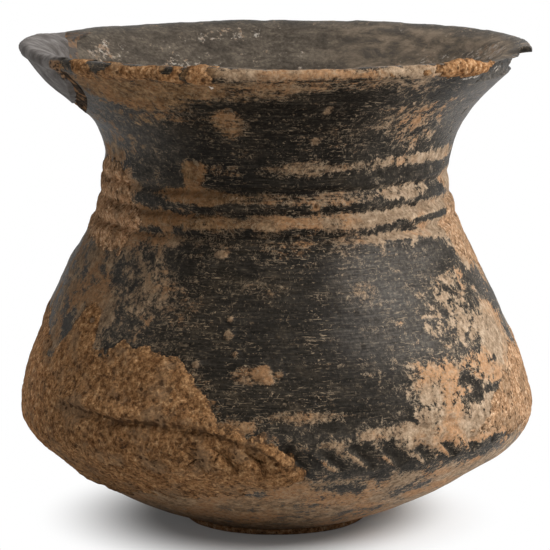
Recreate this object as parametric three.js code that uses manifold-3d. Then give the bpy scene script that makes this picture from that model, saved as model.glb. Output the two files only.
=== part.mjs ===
// Hand-built Bronze Age cup with a flared mouth, a ribbed neck and a low belly, in millimetres.
// +Z is up, the origin is the centre of the foot's underside and the front faces -Y.
// Angles around the cup are in degrees from the front, and grow towards +X.
import * as THREE from 'three';
import Module from 'manifold-3d';
import { mergeVertices } from 'three/addons/utils/BufferGeometryUtils.js';

const wasm = await Module();
wasm.setup();

// Driving sizes of the pot
const mouthRadius = 60;
const rimHeight = 113.7;
const neckRadius = 40.6;
const neckHeight = 84;
const bellyRadius = 61.1;
const bellyHeight = 28;
const footRadius = 22;
const footHeight = 1.6;
const wallThickness = 4.2;
const floorThickness = 5;

// Lip: a cut edge whose outer face leans out from the flare
const lipHeight = 3;
const lipLean = 1.5;
const lipRound = 0.9;

// Roundness of the outline: lengths of the handles that bend each stretch of it
const bowlSpread = 25;
const bowlRise = THREE.MathUtils.degToRad(20);
const bellyRoundBelow = 5.6;
const bellyRoundAbove = 18.3;
const neckRoundBelow = 16.2;
const neckRoundAbove = 10;
const flareReach = 19;
const flareLean = THREE.MathUtils.degToRad(50);

// Clay rings: how far each seam stands from the feature beside it
const baseCoilHeight = 8.6;
const bellyBandBelow = 7;
const bellyBandAbove = 6.5;
const collarBelow = 4.2;
const collarAbove = 6;

// Lap joint between two rings: the tongue's height and the slip gap round it
const lapHeight = 1.6;
const slipGap = 0.3;

// Ribbed neck: grooves below the narrowest place
const grooveCount = 3;
const groovePitch = 4.95;
const grooveDepth = 0.9;
const topGrooveDrop = 0.3;

// Belly decoration: slanting impressions pressed into the widest place
const impressionCount = 50;
const impressionLength = 8.4;
const impressionWidth = 3;
const impressionDepth = 0.9;
const impressionSlant = THREE.MathUtils.degToRad(41);
const impressionDrop = 0.6;

// Missing piece of the mouth on the left, filled by a repair. Each side runs from the tip over a bend
// to the rim. The shares are of the height from the collar to the rim.
const gapFront = 34.2;
const gapFrontBend = 29.8;
const gapFrontBendShare = 0.515;
const gapBack = 27.7;
const gapBackBend = 12;
const gapBackBendShare = 0.95;
const gapTipShare = 0.47;
const mortarTipShare = 0.275;
const mortarWidth = 1.8;
const repairBulge = 1.6;

// Chip out of the lip on the right
const chipAngle = 76;
const chipLength = 32;
const chipHeight = 8;
const chipDepth = 3;
const chipDrop = 2.8;

// Soil crusts lie on the wall with a gap under them
const crustSeat = 0.3;
const crustEdgeShare = 0.3;
const crustLobes = 5;
const lobeDepthShare = 0.16;

// Place of each crust. Its low and high edge are counts of the rings up from the ground, so 3.5 is
// halfway up the fourth. Thickness is a share of the wall's, overLipShare of the lip's height, and
// steps are the faces along it and up it.
const crustSteps = [12, 6];
const lipCrust = { lowCount: 7.94, highCount: 9, overLipShare: 0.5 };
const lipLump = { ...lipCrust, steps: [4, 6] };
const crustPlaces = {
  lip_crust_right: { ...lipCrust, fromAngle: 19, toAngle: 61, thicknessShare: 0.36 },
  lip_crust_left: { ...lipCrust, fromAngle: -41, toAngle: -20, thicknessShare: 0.17 },
  lip_crust_corner: { ...lipLump, fromAngle: -49, toAngle: -43, thicknessShare: 0.14 },
  lip_shell_lump: { ...lipLump, fromAngle: -19, toAngle: -14, thicknessShare: 0.21 },
  neck_crust_left: { fromAngle: -98, toAngle: -66, lowCount: 5.77, highCount: 6.98, thicknessShare: 0.15 },
  neck_crust_right: { fromAngle: 66, toAngle: 100, lowCount: 5.32, highCount: 6.49, thicknessShare: 0.15 },
  shoulder_crust_left: { fromAngle: -96, toAngle: -34, lowCount: 4.63, highCount: 5.4, thicknessShare: 0.17 },
  belly_crust_left: {
    fromAngle: -120, toAngle: -13, lowCount: 3.41, highCount: 4.46, thicknessShare: 0.17, steps: [18, 8],
  },
  bowl_crust_left: {
    fromAngle: -118, toAngle: -20, lowCount: 2.05, highCount: 3.35, thicknessShare: 0.33, steps: [18, 6],
  },
  belly_crust_front: { fromAngle: -12, toAngle: 9, lowCount: 2.46, highCount: 3.67, thicknessShare: 0.28 },
  belly_crust_right: { fromAngle: 48, toAngle: 112, lowCount: 3.15, highCount: 4.68, thicknessShare: 0.19 },
};

// Fineness of the faces
const roundSteps = 48;
const curveSteps = 48;
const ringRows = 3;
const flareRows = 5;
const grooveRowShares = [-0.5, -0.2, 0, 0.2];
const scoopSteps = [6, 4];
const gapBendSteps = 6;
const cutterOverhang = 5;
const slopeStep = 0.1;
const mergeDistance = 1e-4;

// Colours of the fired clay, the repair and the deposits
const burnishedBlack = '#3a3733';
const wornBrown = '#6d5a47';
const repairGrey = '#66625e';
const mortarDark = '#3a2c22';
const soilOchre = '#9a7148';
const soilOrange = '#a8733f';

const flat = (radius, height) => new THREE.Vector2(radius, height);

// Seam heights, worked out from the features beside them
const bottomGrooveHeight = neckHeight - topGrooveDrop - (grooveCount - 1) * groovePitch;
const bowlSeam = footHeight + baseCoilHeight;
const bellySeamLow = bellyHeight - bellyBandBelow;
const bellySeamHigh = bellyHeight + bellyBandAbove;
const neckSeamLow = bottomGrooveHeight - collarBelow;
const neckSeamHigh = neckHeight + collarAbove;
const shoulderSeam = (bellySeamHigh + neckSeamLow) / 2;
const lipFoot = rimHeight - lipHeight;
const ringHeights = [
  0, footHeight, bowlSeam, bellySeamLow, bellySeamHigh, shoulderSeam,
  neckSeamLow, neckSeamHigh, lipFoot, rimHeight,
];

// Outline of the pot from the foot to the underside of the lip
function outlineCurves() {
  const foot = flat(footRadius, footHeight);
  const belly = flat(bellyRadius, bellyHeight);
  const neck = flat(neckRadius, neckHeight);
  const lip = flat(mouthRadius - lipLean, lipFoot);
  const bowl = new THREE.CubicBezierCurve(
    foot,
    flat(foot.x + bowlSpread * Math.cos(bowlRise), foot.y + bowlSpread * Math.sin(bowlRise)),
    flat(belly.x, belly.y - bellyRoundBelow),
    belly,
  );
  const shoulder = new THREE.CubicBezierCurve(
    belly,
    flat(belly.x, belly.y + bellyRoundAbove),
    flat(neck.x, neck.y - neckRoundBelow),
    neck,
  );
  const flare = new THREE.CubicBezierCurve(
    neck,
    flat(neck.x, neck.y + neckRoundAbove),
    flat(lip.x - flareReach * Math.sin(flareLean), lip.y - flareReach * Math.cos(flareLean)),
    lip,
  );
  return [bowl, shoulder, flare];
}

// The same outline as points with the direction that leads into the wall
function outlineStations() {
  const stations = [];
  for (const curve of outlineCurves()) {
    for (let i = 0; i <= curveSteps; i += 1) {
      const point = curve.getPoint(i / curveSteps);
      const along = curve.getTangent(i / curveSteps);
      stations.push({ point, inward: flat(-along.y, along.x) });
    }
  }
  return stations;
}

const stations = outlineStations();

// Radius, at one height, of the surface that lies a depth under the outer face
function radiusAt(height, depth = 0) {
  let lower = null;
  for (const { point, inward } of stations) {
    const here = point.clone().addScaledVector(inward, depth);
    if (lower && here.y >= height && here.y > lower.y) {
      const share = (height - lower.y) / (here.y - lower.y);
      return THREE.MathUtils.lerp(lower.x, here.x, Math.max(share, 0));
    }
    lower = here;
  }
  return lower.x;
}

// Depth of the neck's grooves at one height: narrow grooves between broad ridges
function grooveAt(height) {
  const fromTop = (neckHeight - topGrooveDrop - height) / groovePitch;
  if (fromTop < -0.5 || fromTop > grooveCount - 0.5) return 0;
  const wave = (1 + Math.cos(2 * Math.PI * fromTop)) / 2;
  return grooveDepth * wave ** 2;
}

// Heights shared out evenly between two ends
function evenHeights(bottom, top, rows) {
  return Array.from({ length: rows + 1 }, (_, i) => THREE.MathUtils.lerp(bottom, top, i / rows));
}

// Heights of the collar: its seams, and each groove's edges, flanks and floor
function collarHeights() {
  const heights = [neckSeamLow];
  for (let groove = grooveCount - 1; groove >= 0; groove -= 1) {
    const floor = neckHeight - topGrooveDrop - groove * groovePitch;
    heights.push(...grooveRowShares.map((share) => floor + share * groovePitch));
  }
  heights.push(neckHeight - topGrooveDrop + groovePitch / 2, neckSeamHigh);
  return heights;
}

// Radius of the lap joint's middle, half way through the wall
const lapRadius = (seam) => radiusAt(seam + lapHeight / 2, wallThickness / 2);

// Upper end of a ring: a shelf on the outside and a tongue on the inside
function tongue(seam) {
  const radius = lapRadius(seam) - slipGap / 2;
  const top = seam + lapHeight;
  return [flat(radius, seam), flat(radius, top), flat(radiusAt(top, wallThickness), top)];
}

// Lower end of a ring: a skirt on the outside that covers the tongue below it
function skirt(seam) {
  const radius = lapRadius(seam) + slipGap / 2;
  const top = seam + lapHeight;
  return [flat(radiusAt(top, wallThickness), top), flat(radius, top), flat(radius, seam)];
}

// Outer and inner faces of the wall between two heights
const outerFace = (heights) => heights.map((z) => flat(radiusAt(z) - grooveAt(z), z));
const innerFace = (heights) => heights.map((z) => flat(radiusAt(z, wallThickness), z));

// Closed outline of one ring of the wall
function ringOutline(bottom, top, heights = evenHeights(bottom, top, ringRows)) {
  const inside = evenHeights(bottom + lapHeight, top + lapHeight, ringRows).slice(1, -1);
  return [...outerFace(heights), ...tongue(top), ...innerFace(inside.reverse()), ...skirt(bottom)];
}

// Lip from its lower edge over the top to the inner face
function lipOutline() {
  const inner = radiusAt(rimHeight - lipRound, wallThickness);
  return [
    flat(mouthRadius, rimHeight - lipRound),
    flat(mouthRadius - lipRound, rimHeight),
    flat(inner + lipRound, rimHeight),
    flat(inner, rimHeight - lipRound),
  ];
}

// Closed outline of the flared mouth, swollen by a bulge half way up
function mouthOutline(bulge = 0) {
  const heights = evenHeights(neckSeamHigh, lipFoot, flareRows);
  const inside = evenHeights(neckSeamHigh + lapHeight, rimHeight - lipRound, flareRows).slice(1, -1);
  const innerSide = [...innerFace(inside.reverse()), ...skirt(neckSeamHigh)];
  const outline = [...outerFace(heights), ...lipOutline(), ...innerSide];
  return outline.map((point) => {
    const share = THREE.MathUtils.clamp((point.y - neckSeamHigh) / (lipFoot - neckSeamHigh), 0, 1);
    return flat(point.x + bulge * Math.sin(Math.PI * share), point.y);
  });
}

// Bowl's bottom: it starts and ends on the axis, with a flat floor inside
function bowlBaseOutline() {
  const floor = footHeight + floorThickness;
  const top = bowlSeam + lapHeight;
  const outside = evenHeights(footHeight, bowlSeam, flareRows);
  const inside = evenHeights(floor, top, ringRows).slice(0, -1);
  const outerSide = [flat(0, footHeight), ...outerFace(outside), ...tongue(bowlSeam)];
  return [...outerSide, ...innerFace(inside.reverse()), flat(0, floor)];
}

// Foot: a thin flat pad of clay under the bowl
function footOutline() {
  return [flat(0, 0), flat(footRadius, 0), flat(footRadius, footHeight), flat(0, footHeight)];
}

// One closed body: shared corners are merged and faces without area are left out
function weld(geometry) {
  const bare = geometry.clone();
  bare.deleteAttribute('normal');
  bare.deleteAttribute('uv');
  const merged = mergeVertices(bare, mergeDistance);
  const corners = merged.index.array;
  const kept = [];
  for (let i = 0; i < corners.length; i += 3) {
    const [a, b, c] = corners.slice(i, i + 3);
    if (a !== b && b !== c && c !== a) kept.push(a, b, c);
  }
  merged.setIndex(kept);
  return merged;
}

// Solid of revolution about Z from an outline of radius and height
function revolve(outline, closed = true) {
  const points = closed ? [...outline, outline[0].clone()] : outline;
  return weld(new THREE.LatheGeometry(points, roundSteps).rotateX(Math.PI / 2));
}

function toSolid(geometry) {
  const vertProperties = new Float32Array(geometry.attributes.position.array);
  const triVerts = new Uint32Array(geometry.index.array);
  return new wasm.Manifold(new wasm.Mesh({ numProp: 3, vertProperties, triVerts }));
}

function toGeometry(solid) {
  const { vertProperties, triVerts } = solid.getMesh();
  const geometry = new THREE.BufferGeometry();
  geometry.setAttribute('position', new THREE.BufferAttribute(vertProperties, 3));
  geometry.setIndex(new THREE.BufferAttribute(triVerts, 1));
  return geometry;
}

// Directions at one place of the wall: round the cup, up the wall and out of it
function wallFrame(degrees, height) {
  const angle = THREE.MathUtils.degToRad(degrees);
  const slope = (radiusAt(height + slopeStep) - radiusAt(height - slopeStep)) / (2 * slopeStep);
  const outwards = new THREE.Vector3(Math.sin(angle), -Math.cos(angle), 0);
  const round = new THREE.Vector3(Math.cos(angle), Math.sin(angle), 0);
  const up = outwards.clone().multiplyScalar(slope).add(new THREE.Vector3(0, 0, 1)).normalize();
  const out = new THREE.Vector3().crossVectors(round, up);
  const place = outwards.clone().multiplyScalar(radiusAt(height)).setZ(height);
  return { round, up, out, place };
}

// Egg-shaped cutter with its three half sizes along the directions given
function scoop(place, long, wide, deep, halfSizes) {
  const cutter = new THREE.SphereGeometry(1, ...scoopSteps);
  const axes = new THREE.Matrix4().makeBasis(
    long.clone().multiplyScalar(halfSizes[0]),
    wide.clone().multiplyScalar(halfSizes[1]),
    deep.clone().multiplyScalar(halfSizes[2]),
  );
  return toSolid(weld(cutter.applyMatrix4(axes.setPosition(place))));
}

// Widest ring, with a slanting impression at each step round it
function bellyRing() {
  let ring = toSolid(revolve(ringOutline(bellySeamLow, bellySeamHigh)));
  const halfSizes = [impressionLength / 2, impressionWidth / 2, impressionDepth];
  for (let i = 0; i < impressionCount; i += 1) {
    const degrees = (i + 0.5) * 360 / impressionCount;
    const { round, up, out, place } = wallFrame(degrees, bellyHeight - impressionDrop);
    const long = round.clone().multiplyScalar(Math.cos(impressionSlant));
    long.addScaledVector(up, -Math.sin(impressionSlant));
    const wide = new THREE.Vector3().crossVectors(out, long);
    ring = ring.subtract(scoop(place, long, wide, out, halfSizes));
  }
  return toGeometry(ring);
}

// Prism along X with the outline of the missing piece. Share is 0 along the infill's edge and 1 along
// the old wall's, across the mortar, and margin widens it on every side.
function gapPrism(share, margin) {
  const top = rimHeight + cutterOverhang;
  const wider = mortarWidth * share + margin;
  const heightAt = (upShare) => THREE.MathUtils.lerp(neckSeamHigh, rimHeight, upShare);
  const tip = heightAt(THREE.MathUtils.lerp(gapTipShare, mortarTipShare, share)) - margin;
  const front = -gapFront - wider;
  const back = gapBack + wider;
  const frontBend = flat(-gapFrontBend - wider, heightAt(gapFrontBendShare) - wider);
  const backBend = flat(gapBackBend + wider, heightAt(gapBackBendShare) - wider);
  const outline = new THREE.Shape();
  outline.moveTo(front, top);
  outline.lineTo(front, rimHeight);
  outline.quadraticCurveTo(frontBend.x, frontBend.y, 0, tip);
  outline.quadraticCurveTo(backBend.x, backBend.y, back, rimHeight);
  outline.lineTo(back, top);
  outline.closePath();
  const prism = new THREE.ExtrudeGeometry(outline, {
    depth: mouthRadius + cutterOverhang,
    bevelEnabled: false,
    curveSegments: gapBendSteps,
  });
  const turn = new THREE.Matrix4().makeBasis(
    new THREE.Vector3(0, 1, 0),
    new THREE.Vector3(0, 0, 1),
    new THREE.Vector3(1, 0, 0),
  );
  return toSolid(weld(prism.applyMatrix4(turn.setPosition(-mouthRadius - cutterOverhang, 0, 0))));
}

// Original mouth with the missing piece and the chip cut away
function flaredMouth() {
  const { round, place } = wallFrame(chipAngle, lipFoot);
  const outwards = place.clone().setZ(0).normalize();
  const lip = outwards.clone().multiplyScalar(mouthRadius).setZ(rimHeight - chipDrop);
  const up = new THREE.Vector3(0, 0, 1);
  const chip = scoop(lip, round, up, outwards, [chipLength / 2, chipHeight / 2, chipDepth]);
  const gap = gapPrism(1, slipGap);
  return toGeometry(toSolid(revolve(mouthOutline())).subtract(gap).subtract(chip));
}

// Infill of the missing piece, a little fuller than the old wall
function repairInfill() {
  return toGeometry(toSolid(revolve(mouthOutline(repairBulge))).intersect(gapPrism(0, -slipGap)));
}

// Mortar line in the joint, round the two sides and the tip of the infill
function repairMortar() {
  const joint = gapPrism(1, 0).subtract(gapPrism(0, 0));
  return toGeometry(toSolid(revolve(mouthOutline(repairBulge / 2))).intersect(joint));
}

// Face that a crust lies on: the outer wall, then over the lip to its inner edge
function skinPath() {
  const lip = lipOutline().slice(0, 3);
  return [...stations.filter((_, i) => i % 3 === 0).map(({ point }) => point), ...lip];
}

// Point at one distance along the skin from its lower end, lifted off it squarely
function skinPoint(path, distance, lift) {
  let left = distance;
  let i = 1;
  while (i < path.length - 1 && left > path[i].distanceTo(path[i - 1])) {
    left -= path[i].distanceTo(path[i - 1]);
    i += 1;
  }
  const along = path[i].clone().sub(path[i - 1]).normalize();
  const before = path[Math.max(i - 1, 1)].clone().sub(path[Math.max(i - 2, 0)]).normalize();
  const share = THREE.MathUtils.clamp(left / path[i].distanceTo(path[i - 1]), 0, 1);
  const facing = before.lerp(along, 0.5 + share / 2).normalize();
  return path[i - 1].clone().addScaledVector(along, left).add(flat(facing.y, -facing.x).multiplyScalar(lift));
}

// Distance along the skin at which a height is reached
function skinDistance(path, height) {
  let distance = 0;
  for (let i = 1; i < path.length; i += 1) {
    const step = path[i].distanceTo(path[i - 1]);
    if (path[i].y >= height) return distance + step * (height - path[i - 1].y) / (path[i].y - path[i - 1].y);
    distance += step;
  }
  return distance;
}

// Height at a count of rings up from the ground
function heightAtCount(count) {
  const ring = Math.min(Math.floor(count), ringHeights.length - 2);
  return THREE.MathUtils.lerp(ringHeights[ring], ringHeights[ring + 1], count - ring);
}

// Thin crust with a lobed edge between two angles and two heights, thickest in its middle
function crust(crustPlace) {
  const { fromAngle, toAngle, lowCount, highCount, thicknessShare } = crustPlace;
  const { overLipShare = 0, steps = crustSteps } = crustPlace;
  const path = skinPath();
  const start = skinDistance(path, heightAtCount(lowCount));
  const end = skinDistance(path, heightAtCount(highCount)) + overLipShare * lipHeight;
  const slab = new THREE.BoxGeometry(2, 2, 2, ...steps, 1);
  const corners = slab.attributes.position;
  for (let i = 0; i < corners.count; i += 1) {
    const x = corners.getX(i);
    const y = corners.getY(i);
    const across = x * Math.sqrt(1 - y * y / 2);
    const up = y * Math.sqrt(1 - x * x / 2);
    const lobe = 1 - lobeDepthShare * (1 - Math.cos(crustLobes * Math.atan2(up, across))) / 2;
    const spread = across * across + up * up;
    const dome = crustEdgeShare + (1 - crustEdgeShare) * (1 - spread);
    const lift = crustSeat + (corners.getZ(i) > 0 ? thicknessShare * wallThickness * dome : 0);
    const angle = THREE.MathUtils.degToRad(THREE.MathUtils.lerp(fromAngle, toAngle, (1 + across * lobe) / 2));
    const point = skinPoint(path, THREE.MathUtils.lerp(start, end, (1 + up * lobe) / 2), lift);
    corners.setXYZ(i, point.x * Math.sin(angle), -point.x * Math.cos(angle), point.y);
  }
  return weld(slab);
}

function piece(name, geometry, color, roughness) {
  const material = new THREE.MeshStandardMaterial({ color, roughness, metalness: 0 });
  const mesh = new THREE.Mesh(geometry, material);
  mesh.name = name;
  return mesh;
}

// Clay wall, ring by ring from the foot to the mouth
function pot() {
  const body = new THREE.Group();
  const collar = ringOutline(neckSeamLow, neckSeamHigh, collarHeights());
  body.add(
    piece('foot_disc', revolve(footOutline(), false), wornBrown, 0.85),
    piece('bowl_base', revolve(bowlBaseOutline(), false), wornBrown, 0.8),
    piece('bowl_wall_ring', revolve(ringOutline(bowlSeam, bellySeamLow)), wornBrown, 0.75),
    piece('belly_ring', bellyRing(), burnishedBlack, 0.6),
    piece('shoulder_ring_lower', revolve(ringOutline(bellySeamHigh, shoulderSeam)), burnishedBlack, 0.5),
    piece('shoulder_ring_upper', revolve(ringOutline(shoulderSeam, neckSeamLow)), burnishedBlack, 0.5),
    piece('neck_collar', revolve(collar), burnishedBlack, 0.55),
    piece('flared_mouth', flaredMouth(), burnishedBlack, 0.55),
  );
  return body;
}

// Modern repair of the mouth on the left
function repair() {
  const mend = new THREE.Group();
  mend.add(
    piece('mouth_repair_infill', repairInfill(), repairGrey, 0.6),
    piece('mouth_repair_mortar', repairMortar(), mortarDark, 0.9),
  );
  return mend;
}

// Soil and lime that stuck to the buried cup
function deposits() {
  const crusts = new THREE.Group();
  for (const [name, place] of Object.entries(crustPlaces)) {
    crusts.add(piece(name, crust(place), place.overLipShare ? soilOrange : soilOchre, 0.95));
  }
  return crusts;
}

const cup = new THREE.Group();
cup.name = 'bronze_age_cup';
cup.add(pot(), repair(), deposits());

export default cup;
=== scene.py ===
import math

import bpy
import numpy as np
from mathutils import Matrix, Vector

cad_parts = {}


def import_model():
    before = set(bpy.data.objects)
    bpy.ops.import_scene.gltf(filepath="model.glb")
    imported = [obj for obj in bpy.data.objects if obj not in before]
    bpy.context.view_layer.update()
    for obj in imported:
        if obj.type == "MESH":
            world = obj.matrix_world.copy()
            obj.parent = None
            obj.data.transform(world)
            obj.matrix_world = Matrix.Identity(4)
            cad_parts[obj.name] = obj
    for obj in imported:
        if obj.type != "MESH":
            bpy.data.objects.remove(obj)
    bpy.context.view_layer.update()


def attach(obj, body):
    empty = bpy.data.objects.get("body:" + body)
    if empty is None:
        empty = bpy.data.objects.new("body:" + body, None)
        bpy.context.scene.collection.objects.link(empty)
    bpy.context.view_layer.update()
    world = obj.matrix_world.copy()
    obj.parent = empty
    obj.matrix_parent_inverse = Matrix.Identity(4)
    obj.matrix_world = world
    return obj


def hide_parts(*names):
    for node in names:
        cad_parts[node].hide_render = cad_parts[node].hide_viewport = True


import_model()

# Lengths are in millimetres and angles in degrees until a mesh is made.
# Angles run round the cup from its front, and grow towards +X; z is a height.
MM = 0.001
IMAGE_SIZE = 550

# Outline of the pot, as in the CAD model
MOUTH_RADIUS = 60.0
RIM_HEIGHT = 113.7
NECK_RADIUS = 40.6
NECK_HEIGHT = 84.0
BELLY_RADIUS = 61.1
BELLY_HEIGHT = 28.0
FOOT_RADIUS = 22.0
FOOT_HEIGHT = 1.6
WALL = 4.2
FLOOR = 5.0
FLOOR_TOP = FOOT_HEIGHT + FLOOR
LIP_HEIGHT = 3.0
LIP_LEAN = 1.5
LIP_ROUND = 0.9
BOWL_SPREAD = 25.0
BOWL_RISE = 20.0
BELLY_ROUND_BELOW = 5.6
BELLY_ROUND_ABOVE = 18.3
NECK_ROUND_BELOW = 16.2
NECK_ROUND_ABOVE = 10.0
FLARE_REACH = 19.0
FLARE_LEAN = 50.0

# Seams between the clay rings
GROOVE_COUNT = 3
GROOVE_PITCH = 4.95
TOP_GROOVE = NECK_HEIGHT - 0.3
BOWL_SEAM = FOOT_HEIGHT + 8.6
BELLY_SEAM_LOW = BELLY_HEIGHT - 7.0
BELLY_SEAM_HIGH = BELLY_HEIGHT + 6.5
NECK_SEAM_LOW = TOP_GROOVE - (GROOVE_COUNT - 1) * GROOVE_PITCH - 4.2
NECK_SEAM_HIGH = NECK_HEIGHT + 6.0
SHOULDER_SEAM = (BELLY_SEAM_HIGH + NECK_SEAM_LOW) / 2

# Missing piece of the mouth on the left and the joint round its infill, as in the CAD model
GAP_FRONT = 34.2
GAP_FRONT_BEND = 29.8
GAP_FRONT_BEND_LEVEL = 0.515
GAP_BACK = 27.7
GAP_BACK_BEND = 12.0
GAP_BACK_BEND_LEVEL = 0.95
GAP_TIP_LEVEL = 0.47
MORTAR_TIP_LEVEL = 0.275
MORTAR = 1.8
REPAIR_BULGE = 1.6
REPAIR_LIFT = 0.75
TIP_DROP = 1.5


def mouth_level(share):
    """Height at a share of the way from the collar to the rim"""
    return NECK_SEAM_HIGH + (RIM_HEIGHT - NECK_SEAM_HIGH) * share


# Fineness of the meshes
COLUMNS = 720
MOUTH_COLUMNS = 640
INFILL_COLUMNS = 160
INNER_STEP = 2.5
OUTER_STEP = 0.5
CRUST_STEP = 0.36

# Crusts: least thickness, how far their face sinks where they end, and how deep they root in the wall
CRUST_LEAST = 0.05
CRUST_SUNK = 0.3
CRUST_ROOT = 0.5
FOOT_SOIL = {"crest": 0.5, "tone": 1.3}


# Noise

def lattice(ix, iy, iz, seed):
    """Repeatable random number from -1 to 1 at each corner of a lattice"""
    mixed = (ix * 374761393 + iy * 668265263 + iz * 1440662683 + seed * 974634777) & 0xFFFFFFFF
    mixed = ((mixed ^ (mixed >> 13)) * 1274126177) & 0xFFFFFFFF
    return ((mixed ^ (mixed >> 16)) & 0xFFFF) / 32767.5 - 1.0


def noise(place, size, seed=1):
    """Smooth noise from -1 to 1 with lumps about size mm wide; size may be one length or three"""
    scaled = place / np.asarray(size, float)
    cell = np.floor(scaled).astype(np.int64)
    part = scaled - cell
    part = part * part * (3 - 2 * part)
    total = 0.0
    for dx in (0, 1):
        for dy in (0, 1):
            for dz in (0, 1):
                weight = ((part[..., 0] if dx else 1 - part[..., 0])
                          * (part[..., 1] if dy else 1 - part[..., 1])
                          * (part[..., 2] if dz else 1 - part[..., 2]))
                total = total + weight * lattice(*np.moveaxis(cell + (dx, dy, dz), -1, 0), seed)
    return total


def rough(place, size, octaves=3, seed=1):
    """Layers of noise, each half as wide and as strong as the one before"""
    total = 0.0
    for layer in range(octaves):
        total = total + noise(place, np.asarray(size, float) / 2 ** layer, seed + layer) / 2 ** layer
    return total / (2 - 2 ** (1 - octaves))


def layers(place, *noises):
    """Noises added up, each given as (strength, size, seed)"""
    return sum(strength * noise(place, size, seed) for strength, size, seed in noises)


def smooth(low, high, value):
    """0 below low, 1 above high and a smooth rise between them"""
    share = np.clip((value - low) / (high - low), 0, 1)
    return share * share * (3 - 2 * share)


# Outline

def unit(vectors):
    return vectors / np.maximum(np.linalg.norm(vectors, axis=-1, keepdims=True), 1e-12)


def distances(line):
    """Distance of each point from a line's start"""
    return np.concatenate([[0], np.cumsum(np.hypot(*np.diff(line, axis=0).T))])


def bezier(points, count=160):
    t = np.linspace(0, 1, count)[:, None]
    a, b, c, d = (np.array(point, float) for point in points)
    return (1 - t) ** 3 * a + 3 * t * (1 - t) ** 2 * b + 3 * t * t * (1 - t) * c + t ** 3 * d


def outline():
    """Radius and height of the outer face, up to the lip"""
    rise, lean = math.radians(BOWL_RISE), math.radians(FLARE_LEAN)
    foot, belly, neck = (FOOT_RADIUS, FOOT_HEIGHT), (BELLY_RADIUS, BELLY_HEIGHT), (NECK_RADIUS, NECK_HEIGHT)
    lip = (MOUTH_RADIUS - LIP_LEAN, RIM_HEIGHT - LIP_HEIGHT)
    over_foot = (FOOT_RADIUS + BOWL_SPREAD * math.cos(rise), FOOT_HEIGHT + BOWL_SPREAD * math.sin(rise))
    under_lip = (lip[0] - FLARE_REACH * math.sin(lean), lip[1] - FLARE_REACH * math.cos(lean))
    bowl = bezier([foot, over_foot, (BELLY_RADIUS, BELLY_HEIGHT - BELLY_ROUND_BELOW), belly])
    shoulder = bezier([belly, (BELLY_RADIUS, BELLY_HEIGHT + BELLY_ROUND_ABOVE),
                       (NECK_RADIUS, NECK_HEIGHT - NECK_ROUND_BELOW), neck])
    flare = bezier([neck, (NECK_RADIUS, NECK_HEIGHT + NECK_ROUND_ABOVE), under_lip, lip])
    return np.vstack([bowl, shoulder[1:], flare[1:]])


def inner_face():
    """From under the lip to the floor's middle"""
    along = unit(np.gradient(OUTER, axis=0))
    moved = OUTER - WALL * np.stack([along[:, 1], -along[:, 0]], -1)
    kept = moved[(moved[:, 1] < RIM_HEIGHT - LIP_ROUND - 0.6) & (moved[:, 1] > FLOOR_TOP + 0.8)][::-1]
    floor_line = bezier([kept[-1], (kept[-1][0] - 4, FLOOR_TOP + 0.1), (8, FLOOR_TOP), (0, FLOOR_TOP)], 40)
    return np.vstack([kept, floor_line[1:]])


def lip_curve():
    rim = np.array([MOUTH_RADIUS, RIM_HEIGHT])
    top = rim + (-1.5, 0)
    outer_face = bezier([OUTER[-1], rim + (0.5, -2.6), rim + (0.5, 0.1), top], 24)
    return outer_face, bezier([top, rim + (-2.8, -0.05), rim + (-3.8, -0.7), INNER[0]], 24)


OUTER = outline()
INNER = inner_face()
LIP_OUT, LIP_IN = lip_curve()
PROFILE = np.vstack([OUTER, LIP_OUT[1:], LIP_IN[1:], INNER[1:]])
ARC = distances(PROFILE)
ALONG = unit(np.gradient(PROFILE, axis=0))
LIP_START = ARC[len(OUTER) - 1]
LIP_TOP = ARC[len(OUTER) + len(LIP_OUT) - 2]
LIP_END = ARC[len(OUTER) + len(LIP_OUT) + len(LIP_IN) - 3]


def outer_arc(z):
    """Distance along the profile at which the outer face reaches a height"""
    return np.interp(z, OUTER[:, 1], ARC[:len(OUTER)])


def inner_arc(z):
    """The same for the inner face"""
    first = len(PROFILE) - len(INNER)
    return np.interp(-np.asarray(z, float), -PROFILE[first:, 1], ARC[first:])


def skin(arc):
    """Point of the profile at a distance along it, and the direction out of the clay"""
    point = np.stack([np.interp(arc, ARC, PROFILE[:, i]) for i in (0, 1)], -1)
    out = np.stack([np.interp(arc, ARC, ALONG[:, 1]), -np.interp(arc, ARC, ALONG[:, 0])], -1)
    return point, unit(out)


def place(radius, z, angle):
    turn = np.radians(angle)
    return np.stack([radius * np.sin(turn), -radius * np.cos(turn), z + 0 * turn], -1)


# Patches of the surface

def wrapped(angle):
    return (angle + 180) % 360 - 180


def patches(angle, z, spots):
    """Soft-edged ellipses, added up"""
    total = np.zeros(np.broadcast(angle, z).shape)
    for spot_angle, spot_height, wide, tall, strength in spots:
        far = np.hypot(wrapped(angle - spot_angle) / wide, (z - spot_height) / tall)
        total = total + strength * smooth(1.25, 0.45, far)
    return total


def share_of(spots, angle, z, everywhere=0.0):
    """Patches on an even ground, from 0 to 1"""
    return np.clip(everywhere + patches(angle, z, spots), 0, 1)


def outline_field(angle, z, upper, lower):
    """Distance in mm inside a crust's upper and lower edge"""
    top, bottom = (np.interp(angle, *zip(*edge)) for edge in (upper, lower))
    return np.minimum(top - z, z - bottom)


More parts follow.
